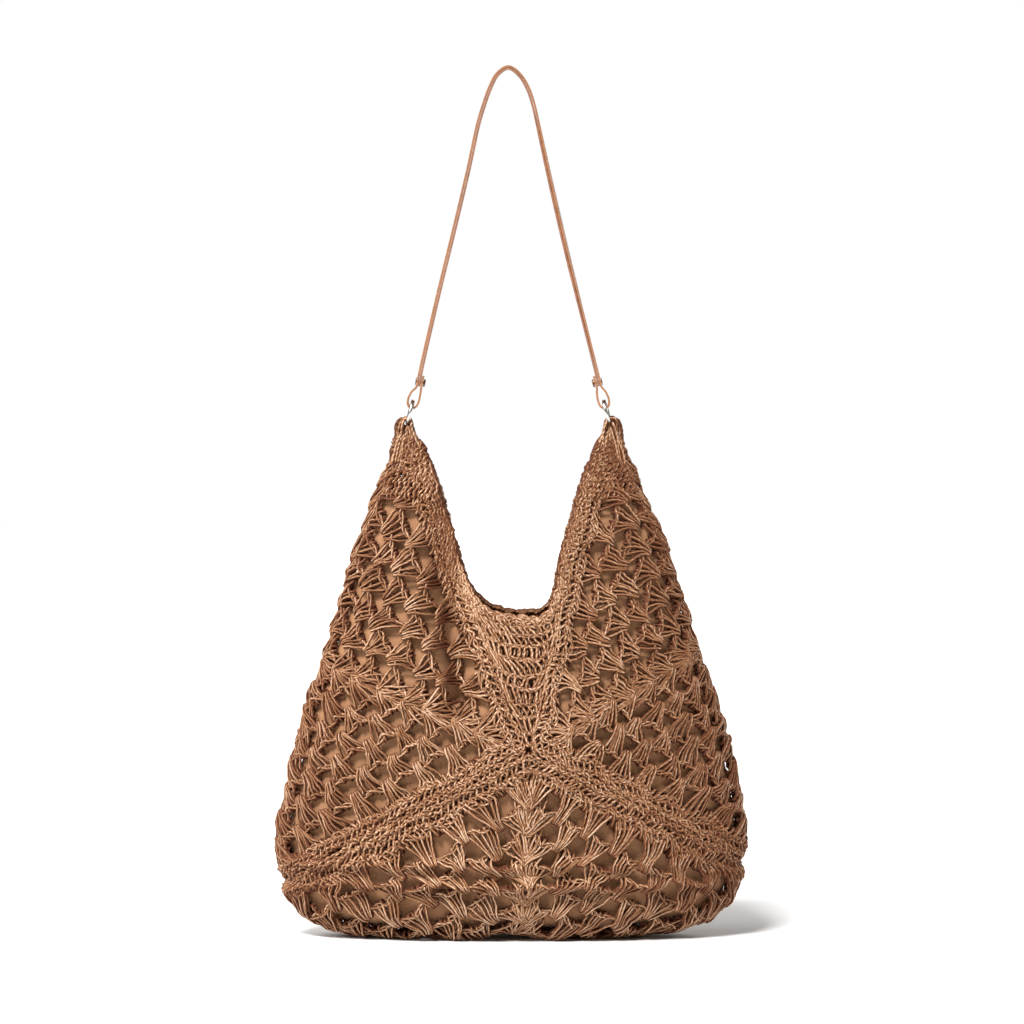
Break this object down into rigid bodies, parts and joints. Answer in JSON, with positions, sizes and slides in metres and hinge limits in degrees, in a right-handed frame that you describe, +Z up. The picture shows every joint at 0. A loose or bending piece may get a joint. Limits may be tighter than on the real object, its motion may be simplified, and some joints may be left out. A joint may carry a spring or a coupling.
{
  "type": "hobo bag",
  "caption": "Slouchy shoulder bag of crocheted raffia-like squares folded into two peaks, with a cloth lining, small metal rings and a slim leather strap.",
  "frame": {"origin": "middle of the base, on the surface the bag stands on", "axes": "+Z up, +X to the right seen from the front, the front faces -Y"},
  "size_m": [0.3768, 0.1128, 0.6971],
  "materials": {
    "yarn_squares": "twisted matt paper yarn, open fan stitches",
    "yarn_gussets": "twisted matt paper yarn, plain rows",
    "yarn_solid_rows": "twisted matt paper yarn, tight rows",
    "lining_cloth": "plain woven cotton cloth",
    "strap_leather": "smooth satin leather with painted edges",
    "strap_backing_leather": "smooth satin leather with painted edges",
    "ring_nickel": "polished nickel",
    "rivet_brass": "aged brass"
  },
  "bodies": {
    "bag": {"left_square": "yarn_squares", "right_square": "yarn_squares", "bottom_square": "yarn_squares", "front_gusset": "yarn_gussets", "back_gusset": "yarn_gussets", "mouth_edging_front": "yarn_solid_rows", "mouth_edging_back": "yarn_solid_rows", "seam_front_left": "yarn_solid_rows", "seam_front_right": "yarn_solid_rows", "seam_back_left": "yarn_solid_rows", "seam_back_right": "yarn_solid_rows", "lining_front": "lining_cloth", "lining_back": "lining_cloth", "lining_hem": "lining_cloth", "ring_tab_left": "yarn_solid_rows", "ring_tab_right": "yarn_solid_rows"},
    "ring_left": {"ring_left": "ring_nickel"},
    "ring_right": {"ring_right": "ring_nickel"},
    "strap": {"strap_outer": "strap_leather", "strap_backing": "strap_backing_leather", "rivet_post_left": "rivet_brass", "rivet_cap_left": "rivet_brass", "rivet_post_right": "rivet_brass", "rivet_cap_right": "rivet_brass"}
  },
  "joints": [
    {"name": "ring_left_swing", "type": "hinge", "parent": "bag", "child": "ring_left", "pos_m": [-0.0814, 0, 0.421], "axis": [1, 0, 0], "range_deg": [-40, 40]},
    {"name": "strap_swing", "type": "hinge", "parent": "ring_left", "child": "strap", "pos_m": [-0.0814, 0, 0.421], "axis": [1, 0, 0], "range_deg": [-40, 40]},
    {"name": "ring_right_swing", "type": "hinge", "parent": "bag", "child": "ring_right", "pos_m": [0.0758, 0, 0.421], "axis": [1, 0, 0], "range_deg": [-40, 40]}
  ],
  "couplings": [
    {"joint": "ring_left_swing", "follows": "strap_swing", "ratio": 1},
    {"joint": "ring_right_swing", "follows": "strap_swing", "ratio": 1}
  ]
}
